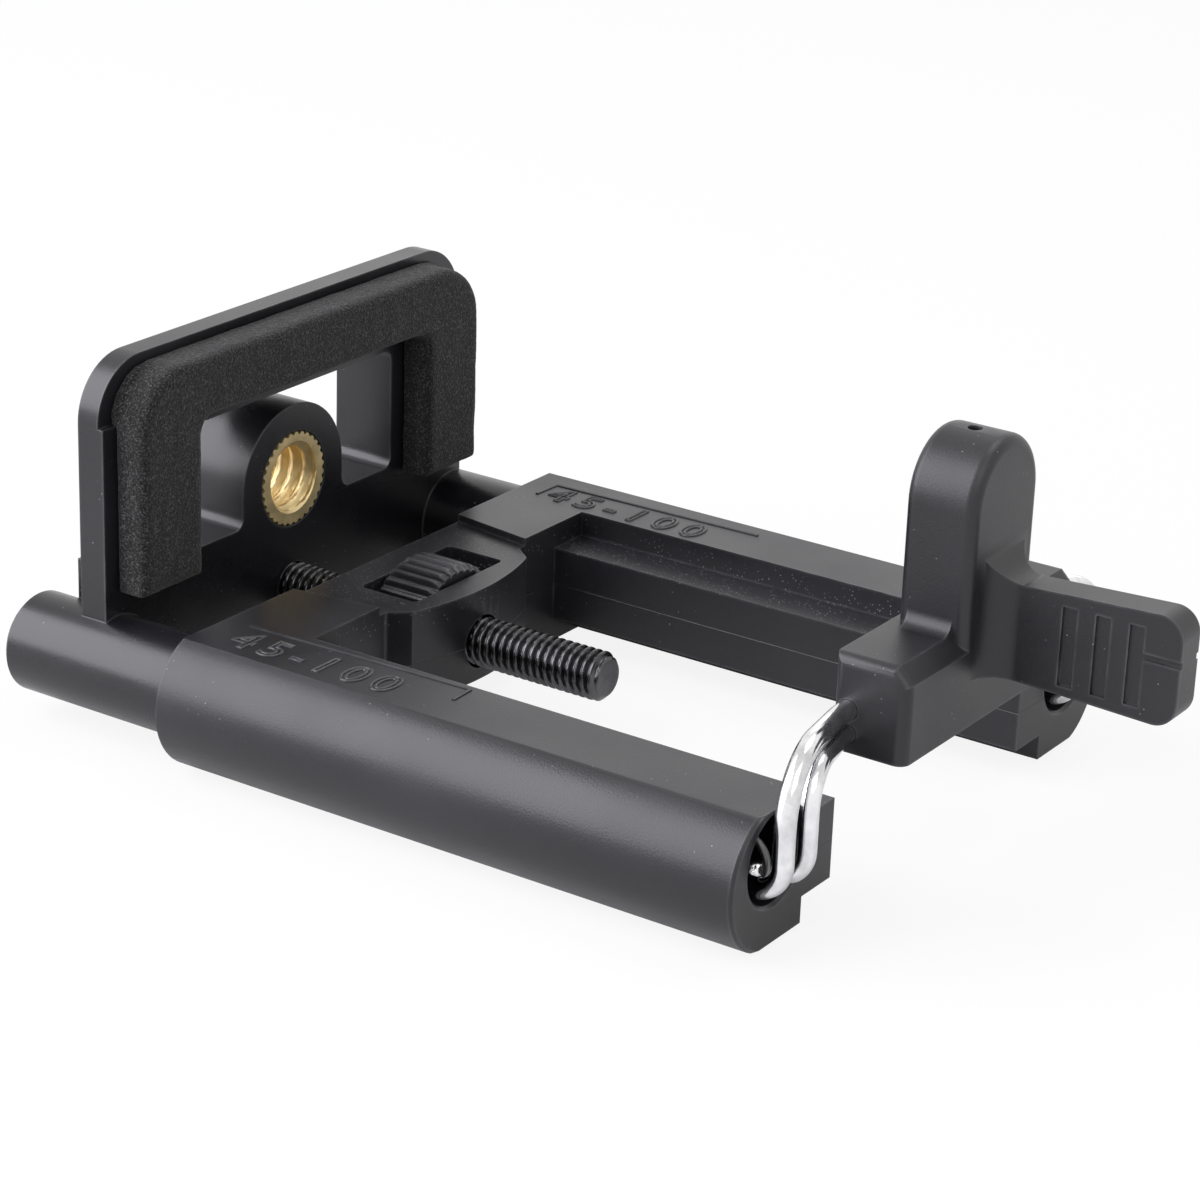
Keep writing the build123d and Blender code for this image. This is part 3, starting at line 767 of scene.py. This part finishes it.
for label in ("near", "far"):
    node = f"spring_{label}"
    low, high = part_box(node)
    middle_y, middle_z = (low.y + high.y) / 2, (low.z + high.z) / 2
    hook_reach = (SPRING_RADIUS + SPRING_WIRE_RADIUS) * MM
    coil_start = low.x + hook_reach
    hook_start = high.x - hook_reach
    coil_end = hook_start - (WIRE_CLEARANCE + SPRING_WIRE_RADIUS) * MM
    turns = round((coil_end - coil_start) / (TURN_SPACING * SPRING_WIRE_RADIUS * MM))
    coil = SPRINGS.grow(
        f"coil_{label}", Start=coil_start, Length=coil_end - coil_start, Hook_Start=hook_start,
        Side_Y=middle_y, Centre_Z=middle_z, Turns=float(turns),
    )
    piece(
        f"coil_{label}", smoothed(coil, 60), SHADE_DARKENED_STEEL,
        ("frame", "clip", (coil_start, middle_y, middle_z), (coil_end, middle_y, middle_z)),
        [node],
    )


# Size marks on the tubes

def number_tree():
    """Numbers whose outlines are thin raised lines."""
    tree = Tree("size numbers", Height=0.004, Spacing=1.35, Line=NUMBER_LINE * MM)
    numbers = tree.add(
        "GeometryNodeStringToCurves",
        {"String": "45-100", "Size": tree.size("Height"), "Character Spacing": tree.size("Spacing")},
    )
    real = tree.add("GeometryNodeRealizeInstances", {"Geometry": numbers.outputs["Curve Instances"]})
    section = tree.add(
        "GeometryNodeCurvePrimitiveCircle", {"Resolution": 8, "Radius": tree.size("Line")}
    )
    tree.finish(tree.swept(real.outputs[0], section), FRAME_BLACK)
    return tree


NUMBERS = number_tree()


def ridge_along(shape, points):
    """A thin raised line along some points on the tubes' flat tops."""
    rise = Vector((0, 0, BRACKET_LINE))
    for first, last in zip(points, points[1:]):
        start, end = Vector((*first, TUBE_TOP_Z)), Vector((*last, TUBE_TOP_Z))
        side = (end - start).normalized().cross(Vector((0, 0, 1))) * BRACKET_LINE
        section = (side - rise, side + rise * 0.6, rise, -side + rise * 0.6, -side - rise)
        ends = [[shape.verts.new((spot + offset) * MM) for offset in section] for spot in (start, end)]
        for index in range(len(section)):
            following = (index + 1) % len(section)
            shape.faces.new((ends[0][index], ends[0][following], ends[1][following], ends[1][index]))
        shape.faces.new(list(reversed(ends[0])))
        shape.faces.new(ends[1])


def size_mark(name, corner, height, spacing, bracket):
    """The range the clamp takes, as outlined numbers with a bracket line."""
    letters = NUMBERS.grow(name, Height=height * MM, Spacing=spacing)
    letters.transform(Matrix.Translation((corner[0] * MM, corner[1] * MM, TUBE_TOP_Z * MM)))
    whole = bmesh.new()
    whole.from_mesh(letters)
    bpy.data.meshes.remove(letters)
    ridge_along(whole, bracket)
    bmesh.ops.recalc_face_normals(whole, faces=whole.faces)
    return smoothed(plain_mesh(whole, name), 50)


# Each mark's name, lower left corner, height, spacing and bracket, in millimetres
SIZE_MARKS = (
    ("size_mark_near", (14.6, -22.7), 4.1, 1.35, ((13.9, -18.9), (34.2, -18.3), (34.3, -20.6))),
    ("size_mark_far", (14.7, 18.5), 3.9, 1.42, ((13.8, 18.9), (13.9, 21.7), (33.6, 22.25))),
)
for name, corner, height, spacing, bracket in SIZE_MARKS:
    mark = size_mark(name, corner, height, spacing, bracket)
    piece(name, mark, FRAME_BLACK, "frame")

# Floor, light and camera, in metres
FLOOR_Z = -0.01487
FLOOR_REACH = 2.5
LIT_SPOT = (0.035, 0.0, -0.005)
ROOM_LIGHT = 0.35


def floor_paint():
    """Plain white paper that keeps the object's shadow and shows as white behind it."""
    paint = Paint("floor white", (0.9, 0.9, 0.9), 0.9, specular=0.1)
    paint.roughness(paint.spread(paint.noise(0.02), 0.3, 0.7, 0.85, 0.95))
    paint.shown_white(by_eye=0.88, by_mirror=0.25, fade_from=0.12, fade_to=0.4)
    return paint.material


floor_mesh = bpy.data.meshes.new("floor")
floor_corners = ((-1, -1), (1, -1), (1, 1), (-1, 1))
floor_mesh.from_pydata(
    [(x * FLOOR_REACH, y * FLOOR_REACH, FLOOR_Z) for x, y in floor_corners], [], [(0, 1, 2, 3)]
)
floor_mesh.materials.append(floor_paint())
floor = bpy.data.objects.new("floor", floor_mesh)
bpy.context.scene.collection.objects.link(floor)


def softbox(name, place, size, power, colour=(1, 1, 1)):
    """A square lamp that faces the object."""
    lamp = bpy.data.lights.new(name, "AREA")
    lamp.shape = "SQUARE"
    lamp.size = size
    lamp.energy = power
    lamp.color = colour
    holder = bpy.data.objects.new(name, lamp)
    holder.location = place
    aim = Vector(LIT_SPOT) - Vector(place)
    holder.rotation_euler = aim.to_track_quat("-Z", "Y").to_euler()
    bpy.context.scene.collection.objects.link(holder)


softbox("left_box", (-0.29, -0.32, 0.29), size=0.55, power=4.3, colour=(0.94, 0.935, 1.0))
softbox("front_box", (0.40, -0.22, 0.40), size=0.35, power=0.5)
softbox("back_panel", (-0.15, 0.5, 0.24), size=0.4, power=0.15)
softbox("top_box", (0.12, 0.2, 0.5), size=0.25, power=0.6)


def studio_world():
    """Soft room light, behind which the camera and mirrors see plain white."""
    world = bpy.data.worlds.new("studio")
    world.use_nodes = True
    sky = world.node_tree
    room = sky.nodes["Background"]
    backdrop = sky.nodes.new("ShaderNodeBackground")
    for background, strength in ((room, ROOM_LIGHT), (backdrop, 1.0)):
        background.inputs["Color"].default_value = (1, 1, 1, 1)
        background.inputs["Strength"].default_value = strength
    either = sky.nodes.new("ShaderNodeMixShader")
    sky.links.new(seen_directly(sky), either.inputs["Fac"])
    sky.links.new(room.outputs[0], either.inputs[1])
    sky.links.new(backdrop.outputs[0], either.inputs[2])
    sky.links.new(either.outputs[0], sky.nodes["World Output"].inputs["Surface"])
    return world


bpy.context.scene.world = studio_world()

# Camera solved from the photograph's straight edges: azimuth, elevation and roll in degrees
CAMERA_PLACE = (0.17390, -0.21242, 0.09817)
AZIMUTH, ELEVATION, ROLL = (math.radians(value) for value in (33.542, 21.649, 2.072))
FOCAL_PIXELS, PHOTO_PIXELS, SENSOR = 3563, 1200, 36
NEAREST_SEEN = 0.01


def solved_camera():
    """The camera that took the photograph."""
    level = Vector((math.cos(AZIMUTH), math.sin(AZIMUTH), 0))
    ahead = Vector((-math.sin(AZIMUTH), math.cos(AZIMUTH), 0))
    forward = ahead * math.cos(ELEVATION) - Vector((0, 0, math.sin(ELEVATION)))
    upward = level.cross(forward)
    right = math.cos(ROLL) * level + math.sin(ROLL) * upward
    top = -math.sin(ROLL) * level + math.cos(ROLL) * upward
    lens = bpy.data.cameras.new("camera")
    lens.sensor_width = SENSOR
    lens.lens = FOCAL_PIXELS / PHOTO_PIXELS * SENSOR
    lens.clip_start = NEAREST_SEEN
    camera = bpy.data.objects.new("camera", lens)
    bpy.context.scene.collection.objects.link(camera)
    turned_to = Matrix((right, top, -forward)).transposed().to_4x4()
    camera.matrix_world = Matrix.Translation(CAMERA_PLACE) @ turned_to
    return camera


bpy.context.scene.camera = solved_camera()
bpy.context.scene.view_settings.view_transform = "Standard"
